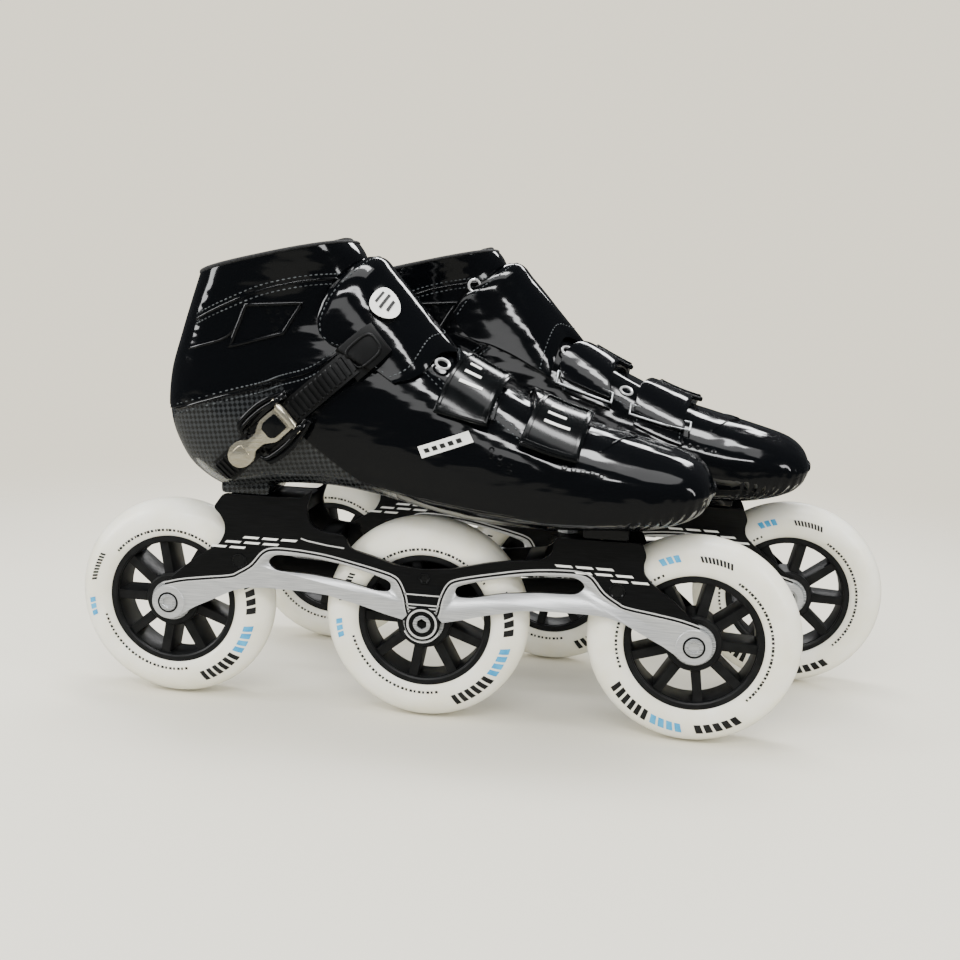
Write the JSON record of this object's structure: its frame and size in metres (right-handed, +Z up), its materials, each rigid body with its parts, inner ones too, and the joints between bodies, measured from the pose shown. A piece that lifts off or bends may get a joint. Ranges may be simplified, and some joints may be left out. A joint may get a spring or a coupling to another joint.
{
  "type": "inline speed skates",
  "caption": "Pair of low-cut inline speed skate boots with buckled and strapped closures, each on a long alloy frame with large in-line wheels.",
  "frame": {"origin": "middle of the pair's footprint, on the ground", "axes": "+X towards the toes, +Y towards the left skate, +Z up"},
  "size_m": [0.4486, 0.1958, 0.2528],
  "materials": {
    "tyre": "off-white polyurethane, slightly translucent, satin",
    "hub_nylon": "black moulded nylon",
    "bearing_steel": "ground bearing steel",
    "bolt_steel": "bright zinc plated steel",
    "black_anodised": "black anodised, lower arms and edges brushed bare",
    "carbon_composite": "lacquered twill weave",
    "patent_synthetic": "black patent synthetic, mirror gloss with soft creases",
    "lining": "black padded mesh",
    "strap_plastic": "ribbed black plastic",
    "buckle_plastic": "black moulded plastic",
    "plated_lever": "polished warm nickel plate"
  },
  "bodies": {
    "right_skate": {"right_frame": "black_anodised", "right_heel_mount_bolt": "bolt_steel", "right_toe_mount_bolt": "bolt_steel", "right_rear_axle": "bolt_steel", "right_middle_axle": "bolt_steel", "right_front_axle": "bolt_steel", "right_carbon_shell": "carbon_composite", "right_upper": "patent_synthetic", "right_liner": "lining", "right_tongue": "lining", "right_footbed": "lining", "right_ankle_strap": "patent_synthetic", "right_instep_strap": "patent_synthetic", "right_toe_strap": "patent_synthetic", "right_ladder_strap": "strap_plastic", "right_heel_strap": "strap_plastic", "right_buckle_base": "buckle_plastic"},
    "right_rear_wheel": {"right_rear_tyre": "tyre", "right_rear_hub": "hub_nylon", "right_rear_bearing_outer_side": "bearing_steel", "right_rear_bearing_inner_side": "bearing_steel"},
    "right_middle_wheel": {"right_middle_tyre": "tyre", "right_middle_hub": "hub_nylon", "right_middle_bearing_outer_side": "bearing_steel", "right_middle_bearing_inner_side": "bearing_steel"},
    "right_front_wheel": {"right_front_tyre": "tyre", "right_front_hub": "hub_nylon", "right_front_bearing_outer_side": "bearing_steel", "right_front_bearing_inner_side": "bearing_steel"},
    "right_buckle_lever": {"right_buckle_lever": "plated_lever"},
    "left_skate": {"left_frame": "black_anodised", "left_heel_mount_bolt": "bolt_steel", "left_toe_mount_bolt": "bolt_steel", "left_rear_axle": "bolt_steel", "left_middle_axle": "bolt_steel", "left_front_axle": "bolt_steel", "left_carbon_shell": "carbon_composite", "left_upper": "patent_synthetic", "left_liner": "lining", "left_tongue": "lining", "left_footbed": "lining", "left_ankle_strap": "patent_synthetic", "left_instep_strap": "patent_synthetic", "left_toe_strap": "patent_synthetic", "left_ladder_strap": "strap_plastic", "left_heel_strap": "strap_plastic", "left_buckle_base": "buckle_plastic"},
    "left_rear_wheel": {"left_rear_tyre": "tyre", "left_rear_hub": "hub_nylon", "left_rear_bearing_outer_side": "bearing_steel", "left_rear_bearing_inner_side": "bearing_steel"},
    "left_middle_wheel": {"left_middle_tyre": "tyre", "left_middle_hub": "hub_nylon", "left_middle_bearing_outer_side": "bearing_steel", "left_middle_bearing_inner_side": "bearing_steel"},
    "left_front_wheel": {"left_front_tyre": "tyre", "left_front_hub": "hub_nylon", "left_front_bearing_outer_side": "bearing_steel", "left_front_bearing_inner_side": "bearing_steel"},
    "left_buckle_lever": {"left_buckle_lever": "plated_lever"}
  },
  "joints": [
    {"name": "right_rear_wheel_spin", "type": "hinge", "parent": "right_skate", "child": "right_rear_wheel", "pos_m": [-0.16935, -0.05286, 0.055], "axis": [0, 1, 0], "continuous": true},
    {"name": "right_middle_wheel_spin", "type": "hinge", "parent": "right_skate", "child": "right_middle_wheel", "pos_m": [-0.02915, -0.05286, 0.055], "axis": [0, 1, 0], "continuous": true},
    {"name": "right_front_wheel_spin", "type": "hinge", "parent": "right_skate", "child": "right_front_wheel", "pos_m": [0.11105, -0.05286, 0.055], "axis": [0, 1, 0], "continuous": true},
    {"name": "right_buckle_open", "type": "hinge", "parent": "right_skate", "child": "right_buckle_lever", "pos_m": [-0.09481, -0.09458, 0.1639], "axis": [-0.6597, -0.052, 0.7498], "range_deg": [0, 75]},
    {"name": "left_rear_wheel_spin", "type": "hinge", "parent": "left_skate", "child": "left_rear_wheel", "pos_m": [-0.11102, 0.05505, 0.055], "axis": [0.0201, 0.9998, 0], "continuous": true},
    {"name": "left_middle_wheel_spin", "type": "hinge", "parent": "left_skate", "child": "left_middle_wheel", "pos_m": [0.02915, 0.05224, 0.055], "axis": [0.0201, 0.9998, 0], "continuous": true},
    {"name": "left_front_wheel_spin", "type": "hinge", "parent": "left_skate", "child": "left_front_wheel", "pos_m": [0.16932, 0.04943, 0.055], "axis": [0.0201, 0.9998, 0], "continuous": true},
    {"name": "left_buckle_open", "type": "hinge", "parent": "left_skate", "child": "left_buckle_lever", "pos_m": [-0.03566, 0.09527, 0.1639], "axis": [0.6585, -0.0652, -0.7498], "range_deg": [0, 75]},
    {"name": "left_skate_lift", "type": "slide", "parent": "right_skate", "child": "left_skate", "axis": [0, 0, 1], "range_m": [0, 0.3]}
  ]
}
